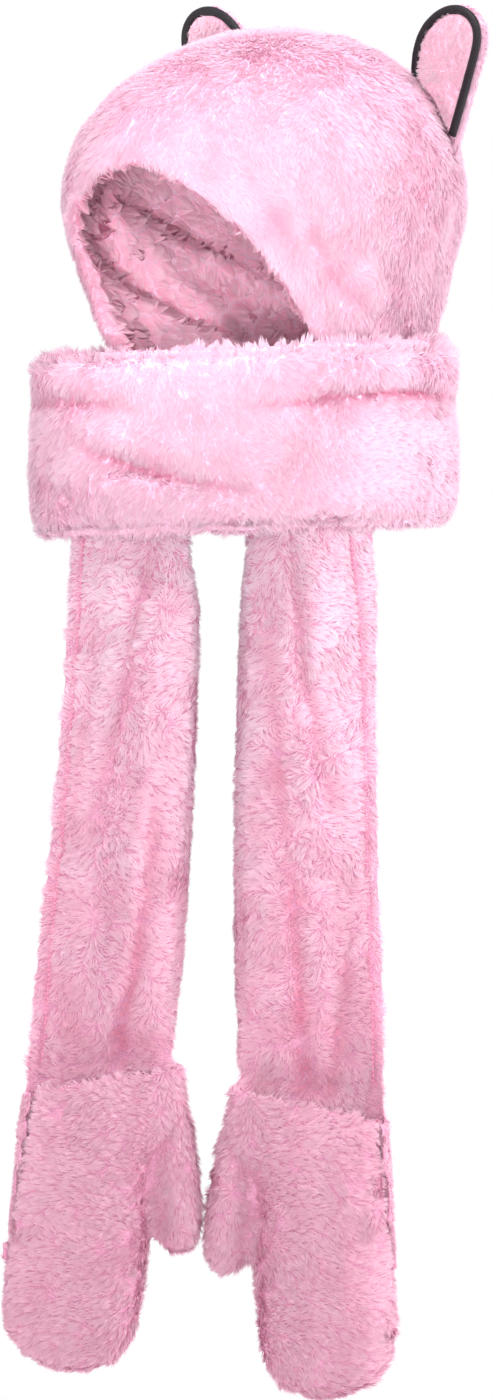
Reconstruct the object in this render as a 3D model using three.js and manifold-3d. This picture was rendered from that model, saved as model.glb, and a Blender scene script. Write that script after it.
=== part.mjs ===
// A plush hood with two ears, worn with its scarf wound once round the neck. Both scarf tails
// hang in front and end in mittens. Millimetres, +Z up. The wearer's body faces -Y and the head is
// turned to the wearer's right. The origin is where the crown of the head meets the hood's inside.
import * as THREE from "three";
import { mergeVertices } from "three/addons/utils/BufferGeometryUtils.js";
import Module from "manifold-3d";

const wasm = await Module();
wasm.setup();

// Driving dimensions
const SEAT_GAP = 0.35; // between sewn pieces that touch
const HOOD = {
  halfLength: 143, // nose to back of the head
  halfWidth: 127, // ear to ear
  crownRise: 114, // from the widest level up to the top
  widestZ: -100,
  hemZ: -257.7,
  crownBack: 18, // the crown sits this far behind the widest level's centre
  wall: 14, // two layers of plush with their pile
  turn: THREE.MathUtils.degToRad(-42), // of the head, against the body
};
const FACE = { topZ: -72, halfAngle: 80, power: 1.8 }; // the face opening's edge
const WRAP = {
  centreX: -13.7,
  centreY: -4,
  halfWidth: 142,
  halfDepth: 132,
  height: 134,
  thickness: 24,
  middleZ: -256.8,
  tilt: THREE.MathUtils.degToRad(1.9), // its wearer's left side is the higher
};
const TAIL = {
  width: 120,
  thickness: 14,
  frontY: -102,
  rollRadius: 16,
  mostRoll: 2.9,
  wave: 5.5,
  outerLag: 28, // the outer edge starts this far behind the front, against the neck
};
const EAR = {
  planeY: 66, // behind the middle of the head
  thickness: 7.5,
  backPeek: 2, // of the back outside the trim
  trimWidth: 4.6,
  trimDepth: 3.4,
  panelDepth: 2.6,
};
// The left ear from its inner foot over the tip to its outer foot, in its own upright plane
const EAR_OUTLINE = [
  { x: 69, z: -40 },
  { x: 70.5, z: -20 },
  { x: 73.5, z: 2 },
  { x: 83, z: 17 },
  { x: 97, z: 26 },
  { x: 110, z: 28.5 },
  { x: 122.5, z: 25 },
  { x: 131, z: 17 },
  { x: 133.5, z: 3 },
  { x: 127, z: -17 },
  { x: 119.5, z: -38 },
  { x: 112, z: -58 },
  { x: 105, z: -76 },
];
const EARS = [
  { label: "left", side: 1, lift: 0 },
  { label: "right", side: -1, lift: 4 }, // stands a little higher
];
const MITTEN = { frontY: -107, wall: 6.5, seamGap: 0.5, seamY: 2.5, cuffRise: 4, overlap: 24 };

// How far the hood's section has drawn in below its widest level, as a share of the widest section
const HOOD_BELOW = [
  { z: -118, share: 0.985 },
  { z: -137.5, share: 0.948 },
  { z: -157, share: 0.907 },
  { z: -186, share: 0.86 },
  { z: -203, share: 0.8 },
  { z: -222, share: 0.7 },
  { z: -240, share: 0.645 },
  { z: HOOD.hemZ, share: 0.62 },
];

// Soft folds in the hood, each along a line between two places given as (degrees from the face,
// height). A positive lift stands proud of that side's own surface, a negative one is a valley.
const HOOD_FOLDS = [
  { side: "outside", fromDeg: 38, fromZ: -108, toDeg: 76, toZ: -182, halfWidth: 13, lift: -5 },
  { side: "outside", fromDeg: 84, fromZ: -128, toDeg: 74, toZ: -186, halfWidth: 15, lift: 4 },
  { side: "outside", fromDeg: 120, fromZ: -125, toDeg: 104, toZ: -190, halfWidth: 16, lift: -4 },
  { side: "outside", fromDeg: -128, fromZ: -120, toDeg: -110, toZ: -188, halfWidth: 18, lift: -4 },
  { side: "outside", fromDeg: 172, fromZ: -110, toDeg: 168, toZ: -190, halfWidth: 18, lift: -4 },
  { side: "inside", fromDeg: -82, fromZ: -118, toDeg: -168, toZ: -188, halfWidth: 17, lift: 10 },
  { side: "inside", fromDeg: -96, fromZ: -182, toDeg: -176, toZ: -226, halfWidth: 13, lift: 6 },
  { side: "inside", fromDeg: 160, fromZ: -112, toDeg: 98, toZ: -190, halfWidth: 15, lift: 7 },
];

// Creases round the neck wrap: each is deepest at one bearing and fades out over its reach.
// Bearings are degrees from the body's front, positive towards the wearer's left.
const WRAP_CREASES = [
  { z: 19, bearing: 58, reach: 74, halfHeight: 8, depth: 7.5, slope: 0.03 },
  { z: 25, bearing: -76, reach: 34, halfHeight: 8, depth: 4, slope: 0 },
  { z: -17, bearing: -22, reach: 50, halfHeight: 11, depth: 4.5, slope: -0.08 },
  { z: 4, bearing: 150, reach: 60, halfHeight: 10, depth: 6, slope: 0.05 },
  { z: -22, bearing: -140, reach: 48, halfHeight: 11, depth: 5, slope: -0.05 },
];

// Each tail by level: where its outer and inner side show from the front
const TAIL_RIGHT = [
  { z: -348, outerX: -128.5, innerX: -41 },
  { z: -420, outerX: -132.5, innerX: -42.5 },
  { z: -520, outerX: -141, innerX: -46.5 },
  { z: -600, outerX: -150, innerX: -52 },
  { z: -668, outerX: -155, innerX: -57 },
];
const TAIL_LEFT = [
  { z: -348, outerX: 74, innerX: -17 },
  { z: -420, outerX: 73.5, innerX: -19.5 },
  { z: -520, outerX: 74.5, innerX: -22 },
  { z: -600, outerX: 77.5, innerX: -22 },
  { z: -686, outerX: 81, innerX: -20.5 },
];

// A mitten from cuff to fingertips. x is towards the thumb, down is along the hand.
const PALM = [
  { down: -26, centreX: 2, halfWidth: 53, front: 12, back: 13 },
  { down: 0, centreX: 2, halfWidth: 53, front: 18, back: 14 },
  { down: 22, centreX: -1, halfWidth: 51, front: 24, back: 15 },
  { down: 60, centreX: -3.5, halfWidth: 48.5, front: 28, back: 16 },
  { down: 100, centreX: -3.5, halfWidth: 47.5, front: 28, back: 16 },
  { down: 135, centreX: -3, halfWidth: 47, front: 26, back: 15 },
  { down: 160, centreX: -2.5, halfWidth: 45, front: 23, back: 14 },
  { down: 177, centreX: -2, halfWidth: 38, front: 18.5, back: 12 },
  { down: 188, centreX: -1, halfWidth: 26, front: 13, back: 9 },
  { down: 193, centreX: 0, halfWidth: 10, front: 5, back: 4 },
];
const THUMB = [
  { down: -8, centreX: 37, halfWidth: 16, front: 12, back: 10 },
  { down: 6, centreX: 40, halfWidth: 17, front: 15, back: 13 },
  { down: 22, centreX: 45, halfWidth: 17.5, front: 17, back: 14 },
  { down: 45, centreX: 51, halfWidth: 17.5, front: 17, back: 15 },
  { down: 70, centreX: 57, halfWidth: 16.5, front: 17, back: 15 },
  { down: 88, centreX: 60, halfWidth: 15.5, front: 16, back: 14 },
  { down: 99, centreX: 60.5, halfWidth: 13, front: 13.5, back: 11.5 },
  { down: 106, centreX: 60.5, halfWidth: 8.5, front: 9, back: 8 },
  { down: 109, centreX: 60.5, halfWidth: 3, front: 4, back: 4 },
];
// The soft heel of the hand that joins palm and thumb down to the crotch between them
const HEEL = [
  { down: -14, centreX: 1, halfWidth: 53, front: 11, back: 11 },
  { down: 6, centreX: 2.5, halfWidth: 54, front: 18, back: 13.5 },
  { down: 26, centreX: 5, halfWidth: 57, front: 21, back: 14 },
  { down: 50, centreX: 9, halfWidth: 59, front: 21, back: 14 },
  { down: 70, centreX: 18, halfWidth: 50, front: 18, back: 12 },
  { down: 83, centreX: 28, halfWidth: 31, front: 12, back: 8 },
  { down: 89, centreX: 36, halfWidth: 10, front: 5, back: 4 },
];
// The front panel's outer seam sits on the front of the hand and runs out to its side
const OUTER_SEAM = { cuffX: -41, lean: THREE.MathUtils.degToRad(3.4) };
const HANDS = {
  right: {
    thumbSide: 1,
    cuffX: -106,
    cuffZ: -672,
    lean: THREE.MathUtils.degToRad(-6.4),
    cuffTilt: THREE.MathUtils.degToRad(15),
  },
  left: {
    thumbSide: -1,
    cuffX: 30,
    cuffZ: -689,
    lean: THREE.MathUtils.degToRad(3),
    cuffTilt: THREE.MathUtils.degToRad(15),
  },
};

const smooth = (t) => {
  const c = Math.min(1, Math.max(0, t));
  return c * c * (3 - 2 * c);
};
const radians = THREE.MathUtils.degToRad;

// Value of one column at a level, along a smooth curve through the rows
function column(rows, key, name, at) {
  const first = rows[0][key];
  const rising = rows[rows.length - 1][key] > first ? 1 : -1;
  const i = Math.min(
    rows.length - 2,
    Math.max(0, rows.findIndex((row) => (row[key] - at) * rising > 0) - 1),
  );
  const last = rows.length - 1;
  const past = (rows[last][key] - at) * rising <= 0;
  const k = past ? last - 1 : i;
  const span = rows[k + 1][key] - rows[k][key];
  const t = Math.min(1, Math.max(0, (at - rows[k][key]) / span));
  const slope = (j) => {
    const a = rows[Math.max(0, j - 1)];
    const b = rows[Math.min(last, j + 1)];
    return ((b[name] - a[name]) / (b[key] - a[key])) * span;
  };
  const [p, q] = [rows[k][name], rows[k + 1][name]];
  const [m, n] = [slope(k), slope(k + 1)];
  return (
    (2 * t ** 3 - 3 * t ** 2 + 1) * p +
    (t ** 3 - 2 * t ** 2 + t) * m +
    (3 * t ** 2 - 2 * t ** 3) * q +
    (t ** 3 - t ** 2) * n
  );
}

// A closed skin over rings of equally many points. The two ends are joined to each other, or each
// is closed by rungs across the ring.
function skin(rings, joined = false) {
  const around = rings[0].length;
  const points = rings.flat();
  const index = [];
  const at = (i, j) => (i % rings.length) * around + (j % around);
  const last = joined ? rings.length : rings.length - 1;
  for (let i = 0; i < last; i++)
    for (let j = 0; j < around; j++) {
      const [a, b, c, d] = [at(i, j), at(i + 1, j), at(i + 1, j + 1), at(i, j + 1)];
      index.push(a, b, c, a, c, d);
    }
  const rungs = (i, turned) => {
    for (let j = 0; j < around / 2 - 1; j++) {
      const [a, b] = [at(i, j), at(i, j + 1)];
      const [c, d] = [at(i, around - 2 - j), at(i, around - 1 - j)];
      const faces = turned ? [a, c, b, a, d, c] : [a, b, c, a, c, d];
      for (let k = 0; k < 6; k += 3) {
        const face = faces.slice(k, k + 3);
        if (new Set(face).size === 3) index.push(...face);
      }
    }
  };
  if (!joined) {
    rungs(0, false);
    rungs(rings.length - 1, true);
  }
  const geometry = new THREE.BufferGeometry().setFromPoints(points);
  geometry.setIndex(index);
  return geometry;
}

// The solid of a closed geometry, whichever way its faces were wound
function solidOf(geometry) {
  const bare = new THREE.BufferGeometry();
  bare.setAttribute("position", geometry.getAttribute("position"));
  if (geometry.index) bare.setIndex(geometry.index);
  const merged = mergeVertices(bare, 1e-3);
  const triVerts = new Uint32Array(merged.index.array);
  const vertProperties = merged.attributes.position.array;
  const made = new wasm.Manifold(new wasm.Mesh({ numProp: 3, vertProperties, triVerts }));
  if (made.volume() > 0) return made;
  return new wasm.Manifold(
    new wasm.Mesh({ numProp: 3, vertProperties, triVerts: triVerts.reverse() }),
  );
}

function geometryOf(solid) {
  const mesh = solid.getMesh();
  const geometry = new THREE.BufferGeometry();
  geometry.setAttribute("position", new THREE.BufferAttribute(mesh.vertProperties, 3));
  geometry.setIndex(new THREE.BufferAttribute(mesh.triVerts, 1));
  return geometry;
}

const moved = (solid, matrix) => solidOf(geometryOf(solid).applyMatrix4(matrix));

// The hood's outline from crown to hem as (share of the widest section, height)
const CROWN_STEPS = 9;
const profile = new THREE.SplineCurve([
  ...Array.from({ length: CROWN_STEPS }, (_, i) => {
    const up = radians(90 * (1 - i / (CROWN_STEPS - 1)));
    return new THREE.Vector2(Math.cos(up), (HOOD.widestZ + HOOD.crownRise * Math.sin(up)) / 100);
  }),
  ...HOOD_BELOW.map((row) => new THREE.Vector2(row.share, row.z / 100)),
]);

// A point of the hood's outer form, by share of the way from crown to hem and bearing from the face
function hoodPoint(way, bearing) {
  const at = profile.getPointAt(Math.min(1, Math.max(0, way)));
  const z = at.y * 100;
  const up = Math.max(0, (z - HOOD.widestZ) / HOOD.crownRise);
  return new THREE.Vector3(
    HOOD.halfWidth * at.x * Math.sin(bearing),
    HOOD.crownBack * up * up - HOOD.halfLength * at.x * Math.cos(bearing),
    z,
  );
}

function hoodNormal(way, bearing) {
  const step = 0.004;
  const w = Math.max(step * 2, way);
  const down = hoodPoint(w + step, bearing).sub(hoodPoint(w - step, bearing));
  const round = hoodPoint(w, bearing + step).sub(hoodPoint(w, bearing - step));
  return round.cross(down).normalize().negate();
}

// Share of the way from crown to hem at which a meridian meets the face's edge or the hem
function hoodBorder(bearing) {
  const turned = Math.abs(THREE.MathUtils.radToDeg(Math.atan2(Math.sin(bearing), Math.cos(bearing))));
  if (turned >= FACE.halfAngle) return 1;
  const drop = (FACE.topZ - HOOD.hemZ) * (turned / FACE.halfAngle) ** FACE.power;
  let [low, high] = [0.1, 1];
  for (let i = 0; i < 30; i++) {
    const middle = (low + high) / 2;
    if (hoodPoint(middle, bearing).z > FACE.topZ - drop) low = middle;
    else high = middle;
  }
  return low;
}

// Sum of the folds of one side at a place of the hood
function hoodFold(side, point, bearing) {
  let lift = 0;
  for (const fold of HOOD_FOLDS) {
    if (fold.side !== side) continue;
    const place = (deg, z) => {
      const share = 1 - 0.15 * smooth((HOOD.widestZ - z) / 90);
      return new THREE.Vector2(radians(deg) * HOOD.halfWidth * share, z);
    };
    const here = place(THREE.MathUtils.radToDeg(bearing), point.z);
    const from = place(fold.fromDeg, fold.fromZ);
    const along = place(fold.toDeg, fold.toZ).sub(from);
    for (const turn of [-1, 0, 1]) {
      const shifted = here.clone();
      shifted.x += turn * 2 * Math.PI * HOOD.halfWidth;
      const reach = shifted.sub(from);
      const t = Math.min(1, Math.max(0, reach.dot(along) / along.lengthSq()));
      const off = reach.sub(along.clone().multiplyScalar(t)).length();
      lift += fold.lift * Math.exp(-((off / fold.halfWidth) ** 2));
    }
  }
  return lift;
}

// The hood as one shell: rings run from the outer crown to the border, round the rolled edge, and
// back up inside. With grow, only the outer form, filled and swollen by that much.
function hoodSolid(grow = null) {
  const columns = 38;
  const rows = 14;
  const rim = 3;
  const filled = grow !== null;
  const bearings = Array.from({ length: columns }, (_, j) => ((j + 0.5) / columns) * 2 * Math.PI);
  const borders = bearings.map((b) => (filled ? 1 : hoodBorder(b)));
  const ringAt = (row, depthOf) =>
    bearings.map((bearing, j) => {
      const wrapped = bearing > Math.PI ? bearing - 2 * Math.PI : bearing;
      const way = (0.025 + 0.975 * (row / rows)) * borders[j];
      const point = hoodPoint(way, bearing);
      const normal = hoodNormal(way, bearing);
      return point.addScaledVector(normal, depthOf(point, wrapped, normal));
    });
  const outside = (point, bearing) =>
    filled ? grow + hoodFold("outside", point, bearing) : hoodFold("outside", point, bearing);
  const inside = (point, bearing) => -HOOD.wall - hoodFold("inside", point, bearing);
  const rings = Array.from({ length: rows + 1 }, (_, i) => ringAt(i, outside));
  if (filled) return solidOf(skin(rings));
  const outerEdge = rings[rows];
  const innerEdge = ringAt(rows, inside);
  for (let k = 1; k < rim; k++) {
    const angle = (Math.PI * k) / rim;
    rings.push(
      outerEdge.map((outer, j) => {
        const inner = innerEdge[j];
        const middle = outer.clone().add(inner).multiplyScalar(0.5);
        const across = outer.clone().sub(inner).multiplyScalar(0.5);
        const before = ringBefore(borders[j], bearings[j]);
        return middle
          .addScaledVector(across, Math.cos(angle))
          .addScaledVector(before, across.length() * Math.sin(angle));
      }),
    );
  }
  for (let i = rows; i >= 0; i--) rings.push(ringAt(i, inside));
  return solidOf(skin(rings));
}

// Unit direction off the hood's border, away from the crown
function ringBefore(border, bearing) {
  const step = 0.01;
  return hoodPoint(border, bearing).sub(hoodPoint(border - step, bearing)).normalize();
}

// The wrap's section: rounded top and bottom, as (share of half the thickness, height)
function wrapSection() {
  const side = (count, sign) =>
    Array.from({ length: count }, (_, i) => {
      const t = (2 * (i + 0.5)) / count - 1;
      const up = Math.sin((t * Math.PI) / 2) * 0.35 + t * 0.65;
      return { out: sign * (1 - Math.abs(up) ** 4.4) ** (1 / 2.3), z: (up * WRAP.height) / 2 };
    });
  return [...side(11, 1), ...side(7, -1).reverse()];
}

// The scarf's turn round the neck: one closed loop with its creases
function wrapSolid() {
  const steps = 40;
  const section = wrapSection();
  const rings = Array.from({ length: steps }, (_, i) => {
    const bearing = (i / steps) * 2 * Math.PI;
    const degrees = THREE.MathUtils.radToDeg(bearing);
    return section.map(({ out, z }) => {
      let radial = (WRAP.thickness / 2) * (out - 1);
      for (const crease of WRAP_CREASES) {
        const past = THREE.MathUtils.euclideanModulo(degrees - crease.bearing + 180, 360) - 180;
        const near = 1 - smooth(Math.abs(past) / crease.reach);
        const level = Math.exp(-(((z - crease.z - crease.slope * past) / crease.halfHeight) ** 2));
        if (out > 0) radial -= crease.depth * near * level;
      }
      const x = (WRAP.halfWidth + radial) * Math.sin(bearing);
      const y = -(WRAP.halfDepth + radial) * Math.cos(bearing);
      return new THREE.Vector3(
        WRAP.centreX + x,
        WRAP.centreY + y,
        WRAP.middleZ + z + x * Math.tan(WRAP.tilt),
      );
    });
  });
  return solidOf(skin(rings, true));
}

// Middle line of a tail's section where it lies against the wrap's inside
function neckLine(side, share) {
  const bearing = side < 0 ? radians(-78 + 63 * share) : radians(47 - 49 * share);
  const inset = WRAP.thickness + TAIL.thickness / 2 - 1;
  return new THREE.Vector2(
    WRAP.centreX + (WRAP.halfWidth - inset) * Math.sin(bearing),
    WRAP.centreY - (WRAP.halfDepth - inset) * Math.cos(bearing),
  );
}

// Middle line of a tail's section where it hangs free: nearly flat from the outer edge, with a
// soft wave, and then rolled back on itself at the inner side
function hangLine(rows, side, z, share) {
  const outer = column(rows, "z", "outerX", z);
  const inner = column(rows, "z", "innerX", z);
  const radius = TAIL.rollRadius;
  const flat = Math.abs(inner - outer) - radius - TAIL.thickness / 2;
  const roll = Math.min(TAIL.mostRoll, (TAIL.width - flat) / radius);
  const along = share * (flat + roll * radius);
  const turned = Math.max(0, along - flat) / radius;
  const down = (rows[0].z - z) / 330;
  const wave = TAIL.wave * Math.sin((Math.min(along, flat) / flat) * 5.6 + 0.6 - 1.5 * down);
  const fade = smooth(along / 12) * (1 - smooth((along - flat + 18) / 26));
  const lag = TAIL.outerLag * (1 - smooth(down)) * Math.max(0, 1 - along / flat) ** 2;
  return new THREE.Vector2(
    outer - side * (Math.min(along, flat) + radius * Math.sin(turned)),
    TAIL.frontY + wave * fade + lag + radius * (1 - Math.cos(turned)),
  );
}

// Middle line of the mitten's back wall this far down the hand, about the hand's middle line
function backLine(down, share, place) {
  const [x, width, depth] = ["centreX", "halfWidth", "back"].map((name) =>
    column(PALM, "down", name, down),
  );
  const angle = Math.PI * (1 - share);
  const [c, s] = [Math.cos(angle), Math.sin(angle)];
  const middle = new THREE.Vector3(0, 0, -down).applyMatrix4(place);
  const point = new THREE.Vector3(
    x + (width - MITTEN.wall / 2) * Math.sign(c) * Math.abs(c) ** 0.8,
    (depth - MITTEN.wall / 2) * s ** 0.8,
    -down,
  ).applyMatrix4(place);
  return point.setZ(point.z - middle.z);
}

// One tail, from inside the wrap down into the mitten's back wall
function tailSolid(rows, side, topZ, hand, place) {
  const levels = 14;
  const across = 11;
  const bottomZ = hand.cuffZ - MITTEN.overlap;
  const rings = Array.from({ length: levels + 1 }, (_, i) => {
    const t = i / levels;
    const z = topZ + (bottomZ - topZ) * (t - 0.09 * Math.sin(2 * Math.PI * t));
    const free = smooth((-285 - z) / 75);
    const cuffed = smooth((hand.cuffZ + 66 - z) / 66);
    const down = Math.max(0, hand.cuffZ - z) / Math.cos(hand.lean);
    const half = TAIL.thickness / 2 + (MITTEN.wall / 2 - 0.4 - TAIL.thickness / 2) * cuffed;
    const line = Array.from({ length: across }, (_, j) => {
      const share = j / (across - 1);
      const flat = neckLine(side, share).lerp(hangLine(rows, side, z, share), free);
      const end = backLine(down, share, place);
      const point = new THREE.Vector3(flat.x, flat.y, 0).lerp(end, cuffed);
      return point.setZ(point.z + z);
    });
    const offset = (sign) =>
      line.map((point, j) => {
        const next = line[Math.min(across - 1, j + 1)];
        const before = line[Math.max(0, j - 1)];
        const along = new THREE.Vector2(next.x - before.x, next.y - before.y).normalize();
        const depth = half * ([0.5, 0.88][Math.min(j, across - 1 - j)] ?? 1);
        return new THREE.Vector3(
          point.x - along.y * depth * sign,
          point.y + along.x * depth * sign,
          point.z,
        );
      });
    return [...offset(-side), ...offset(side).reverse()];
  });
  return solidOf(skin(rings));
}

// A rounded bag from a table of sections, shrunk by the wall when it is the hollow inside
function bagSolid(rows, around, wall, topDown) {
  const full = 2.5; // squareness of the sections
  const rings = [];
  const first = rows[0].down;
  const last = rows[rows.length - 1].down;
  const levels = rows.length;
  for (let i = 0; i <= levels; i++) {
    const t = i / levels;
    const down = first + (last - first) * (1 - (1 - t) ** 1.35);
    const [x, width, front, back] = ["centreX", "halfWidth", "front", "back"].map((name) =>
      column(rows, "down", name, down),
    );
    const inset = (size) => Math.max(0.6, size - wall);
    rings.push(
      Array.from({ length: around }, (_, j) => {
        const angle = ((j + 0.5) / around) * 2 * Math.PI;
        const [c, s] = [Math.cos(angle), Math.sin(angle)];
        const depth = inset(s < 0 ? front : back);
        return new THREE.Vector3(
          x + inset(width) * Math.sign(c) * Math.abs(c) ** (2 / full),
          depth * Math.sign(s) * Math.abs(s) ** (2 / full),
          -(wall > 0 ? Math.min(down, last - wall) : down),
        );
      }),
    );
    if (wall > 0 && down > last - wall) break;
  }
  if (topDown !== undefined) rings.unshift(rings[0].map((p) => p.clone().setZ(-topDown)));
  return solidOf(skin(rings));
}

function boxSolid(low, high) {
  const size = high.map((value, i) => value - low[i]);
  const geometry = new THREE.BoxGeometry(...size);
  geometry.translate(...low.map((value, i) => value + size[i] / 2));
  return solidOf(geometry);
}

// Front and back of one mitten in its own frame, and the room above the wrist seam. The back rises
// behind the cuff to meet the tail and wraps round the outer side to the front panel's seam.
function mittenSolids(cuffTilt) {
  const far = 400;
  const bags = [[PALM, 16], [THUMB, 10], [HEEL, 12]];
  const filled = bags.map(([rows, around]) => bagSolid(rows, around, 0));
  const hollows = bags.map(([rows, around]) => bagSolid(rows, around, MITTEN.wall));
  const mouth = bagSolid(PALM, 16, MITTEN.wall, -60);
  const shell = filled
    .reduce((a, b) => a.add(b))
    .subtract(hollows.reduce((a, b) => a.add(b), mouth));
  const seam = (gap) => {
    const low = [OUTER_SEAM.cuffX - gap, -far, -far];
    const block = boxSolid(low, [far, MITTEN.seamY + gap, far]);
    const lean = new THREE.Matrix4().makeTranslation(OUTER_SEAM.cuffX, 0, 0);
    lean.multiply(new THREE.Matrix4().makeRotationY(OUTER_SEAM.lean));
    lean.multiply(new THREE.Matrix4().makeTranslation(-OUTER_SEAM.cuffX, 0, 0));
    return moved(block, lean);
  };
  const tilt = new THREE.Matrix4().makeRotationY(-cuffTilt);
  const below = moved(boxSolid([-far, -far, -far], [far, far, 0]), tilt);
  const above = moved(boxSolid([-far, -far, 0], [far, MITTEN.seamY, far]), tilt);
  const wrist = boxSolid([-far, -far, MITTEN.cuffRise], [far, far, 2 * far]);
  const arm = moved(wrist, tilt);
  const hand = moved(wrist, new THREE.Matrix4().makeTranslation(0, 0, -MITTEN.seamGap));
  const gap = MITTEN.seamGap / 2;
  return {
    arm,
    notHand: moved(hand, tilt),
    front: shell.intersect(seam(-gap)).intersect(below),
    back: shell.subtract(seam(gap)).subtract(above).subtract(arm),
  };
}

function handMatrix(hand) {
  return new THREE.Matrix4()
    .makeTranslation(hand.cuffX, MITTEN.frontY, hand.cuffZ)
    .multiply(new THREE.Matrix4().makeRotationY(hand.lean * -1))
    .multiply(new THREE.Matrix4().makeScale(hand.thumbSide, 1, 1));
}

// Outline of an ear in its own plane, from one foot over the tip to the other, inset by a margin
function earOutline(inset, lift) {
  const line = new THREE.CatmullRomCurve3(
    EAR_OUTLINE.map((row) => new THREE.Vector3(row.x, 0, row.z + lift)),
    false,
    "centripetal",
  );
  const last = 18;
  return line.getSpacedPoints(last).map((point, i, all) => {
    const along = all[Math.min(last, i + 1)].clone().sub(all[Math.max(0, i - 1)]).normalize();
    return new THREE.Vector2(point.x + along.z * inset, point.z - along.x * inset);
  });
}

// A flat sheet in the ear's plane with rounded edges, from one depth to another
function earSheet(points, frontY, backY, bevel) {
  const shape = new THREE.Shape(points);
  const depth = backY - frontY - 2 * bevel;
  const geometry = new THREE.ExtrudeGeometry(shape, {
    depth,
    bevelEnabled: bevel > 0,
    bevelThickness: bevel,
    bevelSize: bevel,
    bevelOffset: -bevel,
    bevelSegments: 1,
  });
  geometry.rotateX(Math.PI / 2);
  geometry.translate(0, backY - bevel, 0);
  return solidOf(geometry);
}

// The main body of a solid, without the slivers that a cut leaves
function largest(solid) {
  return solid.decompose().sort((a, b) => b.volume() - a.volume())[0];
}

// One ear's pieces in the hood's frame: the padded back, the dark trim and the panel inside it
function earSolids(side, lift) {
  const y = EAR.planeY;
  const inset = (margin) => earOutline(margin, lift);
  const trimRing = [...inset(EAR.backPeek), ...inset(EAR.backPeek + EAR.trimWidth).reverse()];
  const panelEdge = inset(EAR.backPeek + EAR.trimWidth + SEAT_GAP);
  const parts = {
    back: earSheet(inset(0), y, y + EAR.thickness, 2.6),
    trim: earSheet(trimRing, y - SEAT_GAP - EAR.trimDepth, y - SEAT_GAP, 0.9),
    panel: earSheet(panelEdge, y - SEAT_GAP - EAR.panelDepth, y - SEAT_GAP, 0.8),
  };
  const mirror = new THREE.Matrix4().makeScale(side, 1, 1);
  const clear = hoodSolid(SEAT_GAP);
  return Object.fromEntries(
    Object.entries(parts).map(([name, solid]) => {
      return [name, largest(moved(solid, mirror).subtract(clear))];
    }),
  );
}

const plush = { pink: "#f3c3dc", rosy: "#e5a5c0", inner: "#e3a0b8", ear: "#f5bfd6", trim: "#1d1a20" };

function material(color, roughness) {
  return new THREE.MeshStandardMaterial({ color, roughness, metalness: 0 });
}

function addMesh(parent, name, solid, color, roughness = 0.95) {
  const mesh = new THREE.Mesh(geometryOf(solid), material(color, roughness));
  mesh.name = name;
  parent.add(mesh);
}

const group = new THREE.Group();
// Brings the inside of the crown to the origin
const crownX = -HOOD.crownBack * Math.sin(HOOD.turn);
const crownY = HOOD.crownBack * Math.cos(HOOD.turn);
group.position.set(-crownX, -crownY, 0);

const head = new THREE.Group();
head.rotation.z = HOOD.turn;
group.add(head);
addMesh(head, "hood", hoodSolid(), plush.pink);
for (const { label, side, lift } of EARS) {
  const ear = earSolids(side, lift);
  addMesh(head, `ear_back_${label}`, ear.back, plush.pink);
  addMesh(head, `ear_trim_${label}`, ear.trim, plush.trim, 0.6);
  addMesh(head, `ear_panel_${label}`, ear.panel, plush.ear);
}

const turnHead = new THREE.Matrix4().makeRotationZ(HOOD.turn);
const hoodRoom = moved(hoodSolid(SEAT_GAP), turnHead);
const tails = {
  right: { rows: TAIL_RIGHT, side: -1, topZ: -232 },
  left: { rows: TAIL_LEFT, side: 1, topZ: -240 },
};
let wrap = wrapSolid().subtract(hoodRoom);
for (const [label, { rows, side, topZ }] of Object.entries(tails)) {
  const hand = HANDS[label];
  const place = handMatrix(hand);
  const mitten = mittenSolids(hand.cuffTilt);
  const back = moved(mitten.back, place);
  const front = moved(mitten.front, place);
  const strip = tailSolid(rows, side, topZ, hand, place).subtract(hoodRoom);
  addMesh(group, `tail_${label}`, strip.intersect(moved(mitten.arm, place)), plush.rosy);
  const palm = strip.add(back).subtract(front).subtract(moved(mitten.notHand, place));
  addMesh(group, `mitten_back_${label}`, largest(palm), plush.rosy);
  addMesh(group, `mitten_front_${label}`, front, plush.rosy);
  wrap = wrap.subtract(strip);
}
addMesh(group, "neck_wrap", wrap, plush.pink);

export default group;
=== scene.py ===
"""Looks of the plush hooded scarf with ears and mittens: plush skins, their pile, seams and piping."""

import math

import bpy
import numpy as np
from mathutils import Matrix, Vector
from mathutils.bvhtree import BVHTree
from mathutils.kdtree import KDTree


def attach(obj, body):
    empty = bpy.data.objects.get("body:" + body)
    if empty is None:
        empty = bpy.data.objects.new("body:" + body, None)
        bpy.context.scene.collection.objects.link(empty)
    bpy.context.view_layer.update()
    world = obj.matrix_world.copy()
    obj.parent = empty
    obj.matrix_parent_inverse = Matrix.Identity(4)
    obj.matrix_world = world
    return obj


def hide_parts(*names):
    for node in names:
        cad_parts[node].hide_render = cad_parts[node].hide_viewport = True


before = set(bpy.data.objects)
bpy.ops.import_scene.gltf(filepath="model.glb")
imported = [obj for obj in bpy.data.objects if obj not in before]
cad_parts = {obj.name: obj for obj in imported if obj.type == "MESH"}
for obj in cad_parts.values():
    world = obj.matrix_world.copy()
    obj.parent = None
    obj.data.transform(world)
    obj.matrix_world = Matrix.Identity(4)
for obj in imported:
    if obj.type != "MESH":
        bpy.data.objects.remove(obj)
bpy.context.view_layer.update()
MM = 0.001
SIDES = ("left", "right")

# Camera: level with the wrap, far off, the whole piece in view
VIEW_ROWS = 1400
PIXEL = 0.65 * MM  # one step of the view, at VIEW_PLANE_Y
SENSOR_HEIGHT = 24.0
VIEW_DISTANCE = 8.0
VIEW_PLANE_Y = -0.100
CAMERA_X = -0.0241
CAMERA_Z = -0.250
AIM_Z = -0.427

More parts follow.
